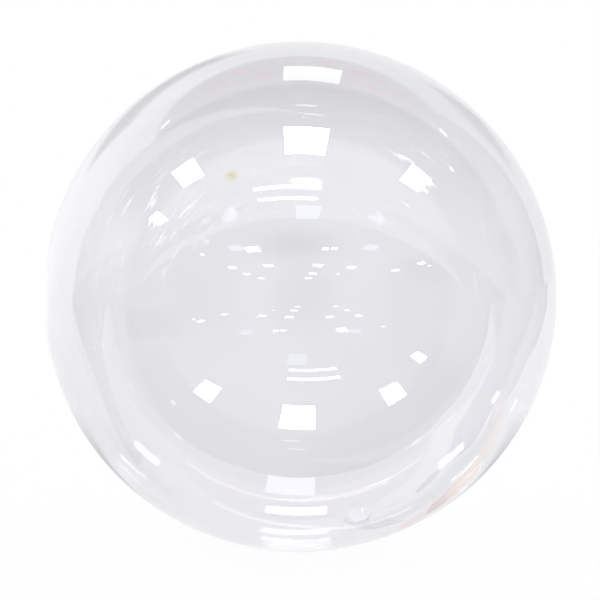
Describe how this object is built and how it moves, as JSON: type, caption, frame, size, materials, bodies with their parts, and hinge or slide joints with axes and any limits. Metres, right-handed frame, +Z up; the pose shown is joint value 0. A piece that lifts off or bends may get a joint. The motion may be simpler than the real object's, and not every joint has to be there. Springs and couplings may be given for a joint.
{
  "type": "clear bubble balloon",
  "caption": "Inflated round balloon of clear film, resting on a small flat at its underside, with its gathered neck pressed flat and sealed behind it.",
  "frame": {"origin": "on the surface the balloon rests on, under the middle of the ball", "axes": "+Z up, +Y to the back, +X to the right seen from the front; the neck lies between +X and +Y"},
  "size_m": [0.56, 0.56, 0.5577],
  "materials": {
    "clear_film": "clear, glossy, stretched polyurethane film with a faint lavender cast"
  },
  "bodies": {
    "root": {"balloon_envelope": "clear_film"}
  },
  "joints": []
}
